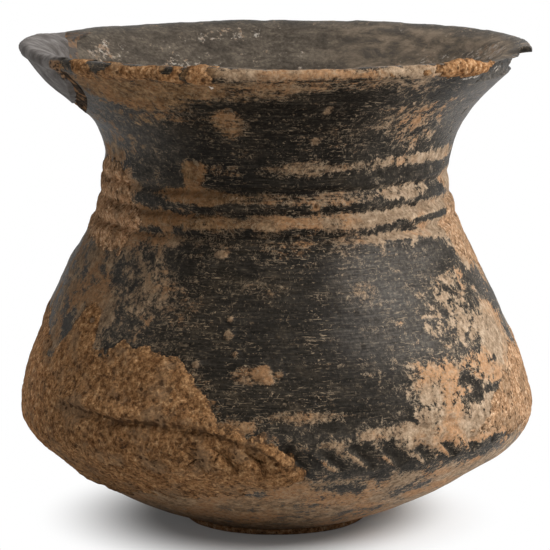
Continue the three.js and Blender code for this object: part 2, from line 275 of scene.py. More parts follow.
# Outlines of the crusts, as (angle, height), and the holes in them, which are patches
LEFT_TOP = [
    (-128, 25), (-123, 34), (-116, 42), (-106, 49), (-98, 52), (-90, 53), (-80, 52), (-73, 50), (-69, 46),
    (-64, 46), (-60, 53), (-56, 57), (-51, 56), (-49, 48), (-44, 47), (-40, 49), (-33, 50.5), (-25, 49),
    (-20, 46), (-15, 41), (-13, 38), (-12, 35), (-8, 34), (-3, 33), (0, 31), (3, 28), (6.5, 25), (8, 18),
]
LEFT_FOOT = [
    (-128, 33), (-123, 24), (-116, 17), (-108, 13.5), (-90, 10.5), (-60, 11.5), (-40, 14), (-20, 16),
    (-10, 17), (-5, 20), (3, 20), (8, 24),
]
RIGHT_TOP = [(48, 30), (56, 36), (64, 40), (76, 44), (90, 46), (104, 44), (114, 38)]
RIGHT_FOOT = [(48, 30), (56, 27.5), (66, 26), (78, 25), (96, 25), (114, 30)]
NECK_LEFT_TOP = [
    (-100, 80), (-92, 85), (-82, 87.5), (-74, 88), (-62, 88), (-57, 86), (-54, 80), (-49, 78.5), (-46, 76),
]
NECK_LEFT_FOOT = [
    (-100, 74), (-90, 71), (-80, 69), (-72, 67.5), (-60, 67.5), (-53, 68.5), (-51, 72), (-46, 76),
]
NECK_RIGHT_TOP = [(62, 74), (70, 75), (78, 78), (88, 79), (98, 74), (102, 66)]
NECK_RIGHT_FOOT = [(62, 73), (68, 68), (72, 64), (78, 64), (84, 60), (92, 59), (102, 62)]
LEDGE = [
    (-60, 36.3), (-49, 35.5), (-36, 34.6), (-28, 34.8), (-17, 34.4), (-9.6, 32.6), (-3.3, 30.8), (2, 26.5),
]
LEFT_HOLES = [
    (-42, 39, 1.5, 0.9, 4), (-40, 35.5, 1.1, 0.7, 4), (-26, 29.7, 2.6, 1, 4), (-17, 30.3, 1.6, 0.5, 4),
    (-12.5, 40, 1, 0.9, 4), (-3, 27, 1.5, 0.7, 4), (-58, 46, 4, 1.2, 4), (-66, 44, 3, 1.2, 4),
    (-53, 53.5, 1.4, 0.8, 4), (-16.5, 43.5, 0.9, 0.8, 4), (-61.5, 38.8, 1.2, 0.6, 3),
]
LIP_HOLES = [(-40, 3.4, 3.6, 1.3, 4), (-32, 4.4, 4, 0.8, 3), (-23.5, 3.2, 1.8, 1.3, 4)]

# Patches, as (angle, height, half angle, half height, strength)
# Brown and tan film on the outer and the inner face, smoother grey clay that is painted lighter on the right
# as a sheen, and whitish lime or shell
FILM_SPOTS = [
    (-20, 112.6, 36, 1.5, 0.5), (6, 112.4, 16, 1.6, 0.4), (40, 112.4, 24, 1.8, 0.45),
    (-36, 107.5, 22, 4.6, 0.75), (-8, 108.6, 18, 3, 0.5), (-13, 100.5, 5, 4, 0.6), (-34, 101.5, 18, 3, 0.3),
    (16, 109.6, 24, 1.6, 0.4), (34, 107.5, 8, 2, 0.3), (38, 100.5, 10, 5.5, 0.34), (50, 98, 9, 7, 0.3),
    (22, 96.5, 12, 6, 0.1), (-68, 90, 12, 2, 0.4), (-27, 87.3, 5, 4.4, 0.62), (-18, 89, 22, 1.6, 0.18),
    (10, 89.2, 14, 2.2, 0.5), (38, 89.6, 20, 1.6, 0.45), (64, 89.8, 18, 1.9, 0.66), (-72, 82.8, 20, 3, 0.66),
    (-56, 83, 7, 3, 0.4), (-27, 82.6, 18, 2.1, 0.7), (-6, 82.6, 12, 1.6, 0.32), (20, 82.3, 22, 1.9, 0.42),
    (48, 82.8, 13, 2.2, 0.55), (80, 83, 12, 3, 0.6), (-70, 77.4, 24, 2.8, 0.7), (-45, 77, 8, 2.4, 0.55),
    (-36, 77, 5, 2.2, 0.7), (-21, 77, 13, 1.9, 0.45), (-2, 77.4, 9, 2.1, 0.6), (24, 77.4, 24, 2, 0.5),
    (60, 78, 24, 2.2, 0.62), (-60, 72.4, 14, 3, 0.66), (-38, 72.6, 12, 1.8, 0.3), (34, 73.2, 18, 1.3, 0.46),
    (68, 73, 22, 2.8, 0.8), (72, 67.5, 7, 5, 0.75), (86, 70, 12, 12, 0.6), (-54, 62, 26, 11, 0.34),
    (-55, 60, 8, 4, 0.25), (-35, 63, 8, 8, 0.2), (-80, 62, 12, 12, 0.25), (-5, 64, 9, 3.4, 0.17),
    (-18, 58, 12, 6, 0.08), (24, 62, 5, 3.4, 0.32), (56, 61, 14, 5, 0.2), (50, 53, 12, 6, 0.3),
    (68, 50.5, 12, 6, 0.75), (38, 42, 9, 5, 0.5), (60, 43, 18, 5, 0.52), (-5, 45.6, 6, 2.2, 0.5),
    (6, 36.8, 11, 1.5, 0.48), (-9, 34.6, 6, 1.8, 0.3), (44, 32, 20, 7, 0.52), (76, 31, 22, 8, 0.62),
    (26, 32.5, 9, 1.6, 0.3), (14, 23, 8, 3, 0.12), (46, 41.5, 5, 1.6, -0.25), (47, 37, 6, 1.1, -0.25),
    (60, 37.8, 7, 1.1, -0.35), (69, 33, 6, 2.2, -0.4), (57, 26.4, 9, 1.2, -0.3), (66, 81.4, 7, 1.1, -0.7),
    (62, 76, 13, 0.8, -0.8), (36, 17, 7, 2.4, -0.4), (18, 20.5, 12, 4, -0.36), (28, 9, 12, 4, -0.24),
    (-5, 18, 4, 2, -0.6), (9, 13, 8, 2, -0.2), (108, 50, 22, 22, 0.3), (150, 40, 24, 14, 0.34),
    (-150, 52, 26, 16, 0.3), (-118, 96, 20, 9, 0.3), (176, 96, 26, 7, 0.34), (-172, 70, 22, 9, 0.24),
    (128, 82, 18, 8, 0.3), (-128, 30, 22, 14, 0.44), (120, 76, 30, 4, 0.3), (-150, 82, 30, 3, 0.3),
    (170, 108, 30, 3, 0.4), (-66, 53, 9, 9, 0.3), (-50, 48, 9, 7, 0.26), (-60, 95, 22, 8, 0.2),
    (-40.5, 113, 3.8, 1.6, -0.8), (-34, 113.4, 4, 0.8, -0.5), (-22.5, 112, 2.2, 2, -0.6),
    (4, 112.6, 20, 1.5, 0.2), (40, 36, 12, 5, 0.12), (5, 99, 32, 8, 0.07), (5, 52, 22, 10, -0.05),
    (-10, 20.5, 30, 3, 0.1), (29, 112.2, 11, 2.2, 0.34), (13.2, 103.4, 1.6, 1.3, 0.5),
    (11.6, 95.6, 1.6, 1.2, 0.5), (12.7, 80.6, 1.3, 0.9, 0.5), (-55.5, 111, 3.2, 2.6, 0.55),
    (-61, 51, 5, 4, -0.35), (-50, 63.5, 6, 4, -0.16), (-38, 46.5, 9, 4, -0.3), (-51, 56, 6, 4, 0.3),
    (-29, 57, 8, 5, 0.14), (-30, 62, 10, 3, 0.08), (-68, 48, 4, 6, 0.3), (48, 58, 14, 8, 0.16),
    (-60, 78, 12, 3, 0.15), (30, 46, 16, 6, 0.1),
]
INNER_SPOTS = [
    (-150, 104, 9, 3, 0.35), (-166, 111, 14, 2, 0.3), (172, 105, 26, 3, 0.12), (125, 104, 20, 6, 0.25),
    (108, 108.5, 9, 1.6, 0.4), (84, 107.5, 9, 3, 0.34), (98, 111, 12, 1.6, 0.34), (-124, 109, 10, 3, 0.3),
    (90, 110, 18, 3, 0.2), (90, 70, 60, 20, 0.2), (-60, 40, 60, 24, 0.2),
]
# Grey patches: smoother grey clay, which on the right is a painted sheen standing in for the key light's
# reflection
GREY_SHEEN_SPOTS = [
    (78, 101, 26, 11, 0.9), (60, 104, 14, 8, 0.5), (34, 66, 20, 9, 0.62), (30, 54, 18, 9, 0.42),
    (52, 70, 10, 5, 0.3), (-50, 95, 16, 5, 0.22), (45, 50, 14, 8, 0.35), (74, 22, 18, 3, 0.8),
    (150, 60, 40, 30, 0.4), (-150, 90, 30, 20, 0.3),
]
LIME_SPOTS = [
    (-14.3, 110.4, 0.8, 1.9, 0.9), (49, 109.3, 7, 0.5, 0.6), (58, 111, 3, 1.6, 0.6), (66, 110, 4, 1.2, 0.5),
    (72, 112, 4, 1, 0.4), (70, 57, 4, 5, 0.3), (86, 44, 6, 5, 0.4), (88, 36, 6, 4, 0.4), (60, 50, 5, 4, 0.2),
    (-11.5, 53.8, 1.6, 1.3, 0.4), (-22, 76.4, 3.4, 0.6, 0.4), (-13, 82.6, 3.4, 0.7, 0.5),
    (-10, 100.6, 3, 1, 0.3), (6, 93, 7, 2, 0.18), (-4, 66, 5, 2, 0.15), (48, 79, 6, 1.5, 0.3),
    (74, 73, 10, 5, 0.33),
]

# Lumps, pits, and where the hand-built wall stands out from the plain outline or falls short of it, in mm
LUMPS = [
    (-27.5, 86.5, 3.2, 2.6, 0.42), (-32, 82.6, 4, 1.4, 0.42), (-22, 82, 6, 1.7, 0.46),
    (-40, 77.4, 4, 1.8, 0.46), (-16, 70.3, 2.4, 0.9, 0.7), (-11.5, 53.8, 1.4, 1.2, 0.8),
    (-3, 46.4, 2.2, 1.5, 0.8), (-2, 44.6, 1.6, 1, 0.7), (0.8, 45.8, 1.2, 0.9, 0.6),
    (-18.5, 47.5, 1.2, 0.9, 0.7), (-9.5, 50, 1.1, 0.8, 0.5), (-11.5, 57, 0.8, 0.7, 0.7),
]
PITS = [
    (12.7, 80.9, 0.75, 0.55, -1.1), (13.2, 103.6, 0.8, 0.7, -0.6), (21, 51, 0.5, 0.45, -0.7),
    (20.8, 58, 0.5, 0.4, -0.6), (26, 56, 0.5, 0.4, -0.5), (33, 33, 1.1, 0.8, -0.8),
    (40.5, 33.6, 0.9, 0.8, -0.8), (42, 31.5, 0.7, 0.7, -0.7), (47, 28, 0.5, 0.5, -0.7),
    (48.5, 26.5, 0.5, 0.6, -0.7), (12, 96, 0.9, 0.6, -0.3), (56, 33, 1.4, 0.4, -0.4), (6, 92, 0.5, 0.4, -0.4),
    (-28, 93, 0.6, 0.5, -0.4), (9, 40, 0.5, 0.4, -0.5),
]
SHAPE_SPOTS = [
    (90, 93, 40, 7, 0.35), (-92, 92.5, 42, 7, -1.0), (-90, 57, 36, 9, 0.8), (-90, 67, 36, 7, 0.3),
    (90, 42, 36, 12, -0.45), (90, 20.5, 36, 5.5, 0.9), (-92, 7, 56, 8, 0.85),
]

CRUST_EDGES = ((LEFT_TOP, LEFT_FOOT), (RIGHT_TOP, RIGHT_FOOT), (NECK_LEFT_TOP, NECK_LEFT_FOOT),
               (NECK_RIGHT_TOP, NECK_RIGHT_FOOT))
FILM_EVERYWHERE = 0.11
FILM_ON_BOWL = 0.78
FILM_INSIDE = 0.14


def film(angle, z):
    amount = FILM_EVERYWHERE + patches(angle, z, FILM_SPOTS)
    bowl = smooth(25, 19, z) * (FILM_ON_BOWL - FILM_EVERYWHERE)
    turned = wrapped(angle)
    halo = smooth(-6, -0.5, np.maximum.reduce([outline_field(turned, z, *edges) for edges in CRUST_EDGES]))
    front = smooth(27, 15, np.abs(wrapped(angle - 23)))
    depth = impressions(angle, z)
    strokes = smooth(0.5, 1.2, depth) * front
    ridges = smooth(0.04, 0.22, -depth) * front
    # Film is taken out of the impressions' cuts so that the black clay shows there as painted shade; the film
    # on their ridges is real wear
    amount = amount + bowl + 0.22 * halo + 0.6 * ridges - 0.42 * strokes
    return share_of(LUMPS, angle, z, amount)


def film_inside(angle, z):
    return share_of(INNER_SPOTS, angle, z, FILM_INSIDE)


def ashy(angle, z):
    """The film is greyer on the left, on the shoulder and above the neck"""
    turned = wrapped(angle)
    shoulder = smooth(77, 70, z) * smooth(38, 46, z) * smooth(10, -20, turned)
    return np.maximum(shoulder, smooth(86, 90, z) * smooth(103, 97, z) * smooth(-34, -48, turned))


def sandy(angle, z):
    """The film is brown on the left and sandy on the right, and further round in places"""
    turned = wrapped(angle)
    on_lip = 0.5 * smooth(110, 111.2, z) * smooth(-15, -10, turned) * smooth(60, 40, turned)
    on_neck = 0.6 * smooth(68, 72, z) * smooth(90, 86, z) * smooth(-42, -56, turned)
    on_bowl = 0.24 * smooth(24, 17, z) * smooth(-80, -60, turned) * smooth(20, 10, turned)
    on_right = smooth(-25, 62, turned) * smooth(190, 120, turned)
    return np.maximum.reduce(np.broadcast_arrays(on_right, on_lip, on_neck, on_bowl))


def mottled(angle, z):
    """The film lies in blotches at the sides and low down, and in streaks on the front"""
    return np.maximum(smooth(20, 36, np.abs(wrapped(angle + 2))), smooth(38, 32, z))


# Relief of the wall

IMPRESSION_COUNT = 50
IMPRESSION_SLANT = math.radians(41)
IMPRESSION_HEIGHT = BELLY_HEIGHT - 0.6
IMPRESSION_LENGTH = 8.4


def impressions(angle, z):
    """Slanting strokes round the belly, with a sharp lower edge and a hollow that fades out above it"""
    step = 360 / IMPRESSION_COUNT
    index = np.floor(angle / step)
    depth = 0.0
    for neighbour in (-1, 0, 1):
        which = (index + neighbour).astype(np.int64)
        zero = np.zeros_like(which)
        wobble = lattice(which % IMPRESSION_COUNT, zero, zero, 5)
        other = lattice(which % IMPRESSION_COUNT, zero + 3, zero, 6)
        across = np.radians(angle - (which + 0.5) * step) * BELLY_RADIUS + 0.5 * other
        up = z - IMPRESSION_HEIGHT - 0.5 * wobble
        slant = IMPRESSION_SLANT + 0.07 * other
        long = across * np.cos(slant) - up * np.sin(slant)
        wide = across * np.sin(slant) + up * np.cos(slant)
        reach = IMPRESSION_LENGTH / 2 * (1 + 0.12 * wobble)
        ends = np.clip(1 - (long / reach) ** 2, 0, 1)
        cut = smooth(-1.3, -0.7, wide) * smooth(3.4, -0.5, wide)
        ridge = smooth(-2.2, -1.5, wide) * smooth(-1.0, -1.5, wide)
        depth = depth + ends * ((1.7 + 0.4 * wobble) * cut - 0.3 * ridge)
    return depth


def grooves(angle, here, z):
    """Narrow grooves between broad ridges on the neck, half filled with soil away from the front"""
    drift = 0.28 * noise(here, 22, 11)
    turn = (TOP_GROOVE + drift - z) / GROOVE_PITCH
    inside = smooth(-0.62, -0.4, turn) * smooth(GROOVE_COUNT - 0.38, GROOVE_COUNT - 0.6, turn)
    wave = (1 + np.cos(2 * np.pi * turn)) / 2
    uneven = 1 + 0.25 * noise(here, 16, 12)
    open_share = 0.35 + 0.65 * smooth(86, 58, np.abs(wrapped(angle)))
    return inside * uneven * open_share * (1.05 * wave ** 2.6 - 0.22 * (1 - wave) ** 2)


def hairline(angle, z):
    middle = 15.4 + 0.5 * np.sin(z * 0.9) + 0.06 * (z - 57)
    ends = smooth(53.5, 55, z) * smooth(61.5, 60, z)
    return 0.35 * np.exp(-(((angle - middle) * 0.9) / 0.16) ** 2) * ends


def outer_relief(angle, here, z):
    relief = layers(here, (0.42, 34, 21), (0.2, 13, 22), (0.07, (9, 9, 1.6), 23))
    relief += 0.05 * rough(here, (3.2, 3.2, 1.2), 3, 24)
    relief += patches(angle, z, SHAPE_SPOTS) - grooves(angle, here, z)
    strokes = smooth(44, 24, np.abs(wrapped(angle - 12))) * 0.88 + 0.12
    relief -= strokes * impressions(angle, z) * smooth(21, 23, z) * smooth(34, 32, z)
    relief -= 0.22 * np.exp(-((z - 33.2 - 0.3 * noise(here, 25, 25)) / 0.45) ** 2)
    relief += patches(angle, z, LUMPS) * (0.7 + 0.3 * noise(here, 1.1, 26))
    relief += patches(angle, z, PITS) - hairline(angle, z)
    return relief - 0.3 * smooth(0.78, 0.92, noise(here, 1.3, 27)) * smooth(-0.2, 0.3, noise(here, 24, 28))


def inner_relief(here):
    return layers(here, (0.3, 30, 31), (0.07, (8, 8, 1.4), 32)) + 0.05 * rough(here, (2.5, 2.5, 1), 2, 33)


def lip_relief(here):
    return layers(here, (0.3, 11, 41), (0.16, 3.5, 42), (0.07, 1.2, 43))


CHIP_START = 56
CHIP_END_LOW = 108
CHIP_END_HIGH = 83
CHIP_FACE = [(106.9, 100), (107, 60), (108.2, 54.3), (109.1, 54.6), (111, 55.4), (112, 55.9), (113, 56.8),
             (116, 60)]
CHIP_TOP = 112.1


def chip(radius, z, angle, here):
    """Piece broken off the lip on the right, back to a rough face that runs on under the lip's nub"""
    turned = wrapped(angle) + layers(here, (1.1, 4, 51), (0.6, 1.6, 52))
    last = CHIP_END_LOW + (CHIP_END_HIGH - CHIP_END_LOW) * smooth(111.6, 112.2, z)
    limit = np.interp(z, *zip(*CHIP_FACE)) + layers(here, (0.3, 2.4, 53), (0.15, 0.9, 54))
    cut = smooth(CHIP_START - 4, CHIP_START + 3, turned) * smooth(last + 1, last - 1, turned)
    lowered = smooth(CHIP_START - 10, CHIP_START, turned) * smooth(CHIP_END_HIGH, CHIP_END_HIGH - 5, turned)
    top = CHIP_TOP + 0.35 * noise(here, 3, 55)
    return radius - cut * np.maximum(radius - limit, 0), z - lowered * np.maximum(z - top, 0)


def surface(angle, arc, bulge=0.0):
    """Point of the real surface at an angle and a distance along the profile"""
    point, out = skin(arc)
    radius, z = point[..., 0], point[..., 1]
    here = place(radius, z, angle)
    to_lip = smooth(LIP_START - 1.5, LIP_START + 0.8, arc)
    to_inside = smooth(LIP_TOP, LIP_END + 2, arc)
    relief = (outer_relief(angle, here, z) * (1 - to_lip) + lip_relief(here) * to_lip * (1 - to_inside)
              + inner_relief(here) * to_inside)
    swell = bulge * np.sin(np.pi * np.clip((z - NECK_SEAM_HIGH) / (OUTER[-1, 1] - NECK_SEAM_HIGH), 0, 1))
    lift = REPAIR_LIFT * (bulge >= REPAIR_BULGE) * smooth(102, 113, z) * smooth(62, 78, -angle)
    lift = lift * smooth(117, 104, -angle)
    lift = lift + 0.45 * smooth(104, 112, z) * smooth(80, 120, angle) * smooth(190, 150, angle)
    swell = swell + 0.5 * (bulge >= REPAIR_BULGE) * smooth(98, 104, z) * smooth(111.5, 108, z)
    swell = swell * (0.35 + 0.65 * smooth(100, 107, z))
    radius, z = radius + swell + out[..., 0] * relief, z + lift + out[..., 1] * relief
    return place(*chip(radius, z, angle, here), angle)


# Meshes

def evenly(low, high, step):
    return np.linspace(low, high, max(int(math.ceil(abs(high - low) / step)), 1) + 1)


def run_on(arcs):
    """Distances with one more before and after them, for normals that run on past the ends"""
    return np.concatenate([[2 * arcs[0] - arcs[1]], arcs, [2 * arcs[-1] - arcs[-2]]])[:, None]


def normals_of(grid, wrap=False):
    """Direction out of the clay at each point of a grid"""
    rows = np.gradient(grid, axis=0)
    columns = np.roll(grid, -1, axis=1) - np.roll(grid, 1, axis=1) if wrap else np.gradient(grid, axis=1)
    return unit(np.cross(columns, rows))


def band_quads(rows, columns, wrap=False):
    low = np.arange(rows - 1)[:, None] * columns
    left = np.arange(columns if wrap else columns - 1)
    right = (left + 1) % columns
    return np.stack([low + left, low + right, low + columns + right, low + columns + left], -1)


def closing(quads):
    """Quads from the last row of a band back to its first"""
    return np.stack([quads[-1][:, 3], quads[-1][:, 2], quads[0][:, 1], quads[0][:, 0]], -1)


def with_flat(quads, facing, *flat):
    """A band's quads and corner normals, then flat quads"""
    flat = np.concatenate(flat)
    return (np.concatenate([quads.reshape(-1, 4), flat]),
            np.concatenate([facing.reshape(-1, 4, 3), np.full(flat.shape + (3,), np.nan)]))


def split_faces(quads):
    """Quads whose corners all differ, and the triangles left where two neighbours are one"""
    same = quads == np.roll(quads, -1, axis=1)
    count = same.sum(axis=1)
    pinched = np.nonzero(count == 1)[0]
    keep = np.array([[1, 2, 3], [0, 2, 3], [0, 1, 3], [0, 1, 2]])[same[pinched].argmax(axis=1)]
    return count == 0, pinched, keep


def new_object(name, data):
    made = bpy.data.objects.new(name, data)
    bpy.context.scene.collection.objects.link(made)
    return made


def build_piece(name, points, quads, facing, attributes):
    """Mesh piece from points in mm; a corner normal that is unset takes its face's own direction"""
    quads = quads.reshape(-1, 4)
    used = np.unique(quads)
    points = points.reshape(-1, 3)[used]
    quads = np.searchsorted(used, quads)
    corners = points[quads]
    flat = unit(np.cross(corners[:, 2] - corners[:, 0], corners[:, 3] - corners[:, 1]))
    facing = facing.reshape(-1, 4, 3)
    normals = np.where(np.isfinite(facing[..., :1]), facing, flat[:, None, :])
    whole, pinched, keep = split_faces(quads)
    triangles = np.take_along_axis(quads[pinched], keep, 1)
    triangle_normals = np.take_along_axis(normals[pinched], keep[..., None], 1)
    loop_normals = np.concatenate([normals[whole].reshape(-1, 3), triangle_normals.reshape(-1, 3)])
    mesh = bpy.data.meshes.new(name)
    mesh.from_pydata(points * MM, [], [*quads[whole].tolist(), *triangles.tolist()], False)
    for key, values in attributes.items():
        layer = mesh.attributes.new(key, "FLOAT", "POINT")
        layer.data.foreach_set("value", values.ravel()[used].astype(np.float32))
    mesh.normals_split_custom_set(loop_normals.tolist())
    loose = new_object(name + "_surface", mesh)
    material, slot = LOOKS.get(name, (CRUST, "soil_crust"))
    mesh.materials.append(material)
    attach(loose, "root")
    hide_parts(name)


def wall_attributes(angle, arc):
    z = skin(arc)[0][..., 1]
    inside = smooth(LIP_TOP - 0.5, LIP_END, arc) * np.ones_like(angle)
    outside = 1 - inside
    # grey is smoother grey clay, and on the right a painted sheen
    return {"film": film(angle, z) * outside + film_inside(angle, z) * inside,
            "grey": share_of(GREY_SHEEN_SPOTS, angle, z) * outside, "inside": inside,
            "sandy": sandy(angle, z), "mottled": mottled(angle, z),
            "lime": share_of(LIME_SPOTS, angle, z) * outside, "ashy": ashy(angle, z)}


TURNS = (np.arange(COLUMNS) * 360 / COLUMNS - 180)[None, :]


def section(low, high, step):
    """Points, normals and attributes of the wall between two distances along the profile"""
    arcs = evenly(low, high, step)
    grid = surface(TURNS, run_on(arcs) + 0 * TURNS)
    angles = TURNS + 0 * arcs[:, None]
    return grid[1:-1], normals_of(grid, True)[1:-1], wall_attributes(angles, arcs[:, None] + 0 * angles)


def ring_piece(name, low, high):
    """Outer face, inner face and the two seams between them"""
    outside = section(outer_arc(low), outer_arc(high), OUTER_STEP)
    inside = section(inner_arc(high), inner_arc(low), INNER_STEP)
    points, normals = (np.concatenate([outside[i], inside[i]]) for i in (0, 1))
    attributes = {key: np.concatenate([outside[2][key], inside[2][key]]) for key in outside[2]}
    quads = band_quads(len(points), COLUMNS, True)
    facing = normals.reshape(-1, 3)[quads]
    facing[len(outside[0]) - 1] = np.nan
    build_piece(name, points, *with_flat(quads, facing, closing(quads)), attributes)


def capped_piece(name, points, normals, flat, attributes):
    """Round piece whose first and last rows are drawn together to a point, with some rows of flat faces"""
    rows, columns = points.shape[:2]
    quads = band_quads(rows, columns, True)
    facing = normals.reshape(-1, 3)[quads]
    facing[flat] = np.nan
    last = (rows - 1) * columns
    quads = np.where(quads >= last, last, np.where(quads < columns, 0, quads))
    build_piece(name, points, quads, facing, attributes)


def bowl_base_piece(name):
    """Outer face, floor inside, and the flat underside that rests on the foot"""
    outside = section(outer_arc(FOOT_HEIGHT), outer_arc(BOWL_SEAM), OUTER_STEP)
    inside = section(inner_arc(BOWL_SEAM), ARC[-1] - 0.01, INNER_STEP)
    base_middle, floor_middle, upright = (
        np.broadcast_to([0, 0, z], (1, COLUMNS, 3)) for z in (FOOT_HEIGHT, FLOOR_TOP, 1.0))
    points = np.concatenate([base_middle, outside[0], inside[0][:-1], floor_middle])
    normals = np.concatenate([-upright, outside[1], inside[1][:-1], upright])
    attributes = {}
    for key, outer in outside[2].items():
        inner = inside[2][key][:-1]
        attributes[key] = np.concatenate([outer[:1], outer, inner, inner[-1:]])
    capped_piece(name, points, normals, [0, len(outside[0])], attributes)


def foot_piece(name):
    """Flat pad of clay with a worn edge, under soil"""
    angles = np.arange(0, 360, 1.0)[None, :]
    profile = np.array([(0, 0), (20.8, 0), (21.7, 0.25), (22.1, 0.8), (22.0, 1.35), (21.7, FOOT_HEIGHT),
                        (0, FOOT_HEIGHT)])
    rows = place(profile[:, :1], profile[:, 1:], angles + 0 * profile[:, :1])
    wobble = layers(rows, (0.35, 9, 71), (0.15, 2.2, 72))
    side = np.array([0, 0.4, 1, 1, 1, 1, 0])[:, None]
    rows = rows + place(1, 0, angles + 0 * side) * (wobble * side)[..., None]
    attributes = {key: np.full(rows.shape[:2], value) for key, value in FOOT_SOIL.items()}
    capped_piece(name, rows, normals_of(rows, True), [0, -1], attributes)


# Missing piece of the mouth, its infill and the mortar round it

def gap_curve(side, share):
    """Distance from the gap's middle and height along one side, from the tip to the rim.
    Share is 0 along the infill's edge and 1 along the old wall's, across the mortar."""
    reach, bend_reach, bend_level = ((GAP_FRONT, GAP_FRONT_BEND, GAP_FRONT_BEND_LEVEL) if side < 0
                                     else (GAP_BACK, GAP_BACK_BEND, GAP_BACK_BEND_LEVEL))
    wider = MORTAR * share
    tip_level = GAP_TIP_LEVEL + (MORTAR_TIP_LEVEL - GAP_TIP_LEVEL) * share
    tip = np.array([0, mouth_level(tip_level) - TIP_DROP * (1 - share)])
    bend = np.array([bend_reach + wider, mouth_level(bend_level) - wider])
    end = np.array([reach + wider, RIM_HEIGHT])
    t = np.linspace(0, 1, 120)[:, None]
    return ((1 - t) ** 2 * tip + 2 * t * (1 - t) * bend + t * t * end) * [side, 1]


def left_of(point, depth):
    """Angle of a point on the cup's left that lies this far behind the middle of the gap"""
    return np.degrees(np.arctan2(-np.sqrt(np.maximum(point[..., 0] ** 2 - depth ** 2, 0)), -depth))


def gap_angle(side, share, point):
    """Angle at which a row of the wall meets one side of the gap"""
    curve = gap_curve(side, share)
    return left_of(point, np.interp(point[..., 1], curve[:, 1], curve[:, 0], left=0))


def mouth_arcs(low, split):
    """Distances over the lip, inner rows as high as the outer ones, and the row of the split"""
    below = evenly(outer_arc(low), outer_arc(split), OUTER_STEP)
    outside = np.concatenate([below[:-1], evenly(outer_arc(split), LIP_TOP, OUTER_STEP)])
    under_lip = inner_arc(OUTER[-1, 1])
    over = under_lip + (LIP_TOP - under_lip) * (outside - LIP_START) / (LIP_TOP - LIP_START)
    inside = np.where(outside <= LIP_START, inner_arc(skin(outside)[0][:, 1]), over)
    return np.concatenate([outside, inside[-2::-1]]), len(below) - 1


def cut_side(rows, columns, column, first):
    """Quads through the wall's thickness along one cut side"""
    low = np.arange(first, rows // 2)
    far = rows - 1 - low
    return np.stack([low, low + 1, far - 1, far], -1) * columns + column


def sector_piece(name, low, split, side, share, columns, bulge):
    """Stretch of the mouth from one side of the gap, the front one being -1, to the other.
    Below the split the ring is whole."""
    arcs, first = mouth_arcs(low, split)
    point, _ = skin(arcs)
    start, end = gap_angle(side, share, point), gap_angle(-side, share, point) + 180 * (1 - side)
    angles = start[:, None] + (end - start)[:, None] * np.linspace(0, 1, columns)[None, :]
    ghost_angles = np.concatenate([angles[:1], angles, angles[-1:]])
    grid = surface(ghost_angles, run_on(arcs) + 0 * ghost_angles, bulge)
    rows = len(arcs)
    quads = band_quads(rows, columns)
    facing = normals_of(grid)[1:-1].reshape(-1, 3)[quads]
    last = columns - 1
    cuts = cut_side(rows, columns, 0, first), cut_side(rows, columns, last, first)[:, ::-1]
    quads, facing = with_flat(quads, facing, closing(quads), *cuts)
    if first > 0:
        joined = np.arange(rows * columns).reshape(rows, columns)
        whole = [*range(first + 1), *range(rows - 1 - first, rows)]
        joined[whole, last] = joined[whole, 0]
        quads = joined.ravel()[quads]
    build_piece(name, grid[1:-1], quads, facing, wall_attributes(angles, arcs[:, None] + 0 * angles))


def slab_piece(name, front, back, keep, attributes, behind=None):
    """Closed thin piece of two sheets of one grid; the back one can have attributes of its own"""
    rows, columns = front.shape[:2]
    quads = band_quads(rows, columns)[keep[:-1, :-1] | keep[1:, :-1] | keep[:-1, 1:] | keep[1:, 1:]]
    edges = np.concatenate([quads[:, [i, (i + 1) % 4]] for i in range(4)])
    shift = rows * columns
    code = np.sort(edges, axis=1) @ [shift, 1]
    _, first, count = np.unique(code, return_index=True, return_counts=True)
    border = edges[first[count == 1]]
    walls = np.stack([border[:, 1], border[:, 0], border[:, 0] + shift, border[:, 1] + shift], -1)
    points = np.concatenate([front, back])
    facing = normals_of(front).reshape(-1, 3)[quads]
    other = behind or attributes
    doubled = {key: np.concatenate([values, other[key]]) for key, values in attributes.items()}
    build_piece(name, points, *with_flat(quads, facing, quads[:, ::-1] + shift, walls), doubled)


def mortar_piece(name):
    """Strip down one side of the infill and up the other, through the wall"""
    lines = []
    for share in np.linspace(0, 1, 13):
        line = np.vstack([gap_curve(-1, share)[:0:-1], gap_curve(1, share)])
        length = distances(line)
        steps = np.linspace(0, length[-1], 300)
        lines.append(np.stack([np.interp(steps, length, line[:, i]) for i in (0, 1)], -1))
    line = np.array(lines)
    depth, z = line[..., 0], np.minimum(line[..., 1], RIM_HEIGHT - 0.1)
    front, back = (surface(left_of(skin(arc)[0], depth), arc, REPAIR_BULGE / 2)
                   for arc in (outer_arc(z), inner_arc(np.minimum(z, INNER[0, 1]))))
    rise = smooth(109.5, 111.5, z)
    front[..., 2] = np.maximum(front[..., 2], z - 0.4 + 0.3 * rise)
    back[..., 2] = np.maximum(back[..., 2], z - 0.6 + 0.4 * rise)
    outward = place(1.0, 0.0, np.degrees(np.arctan2(front[..., 0], -front[..., 1])))
    sink = 0.2 + 0.7 * (rough(front, 1.8, 3, 61) + 0.3) * smooth(109, 102, front[..., 2])
    front = front - outward * np.maximum(sink, 0.1)[..., None]
    inside = np.zeros(depth.shape)
    slab_piece(name, front, back, inside == 0, {"inside": inside}, {"inside": inside + 1})


# Crusts

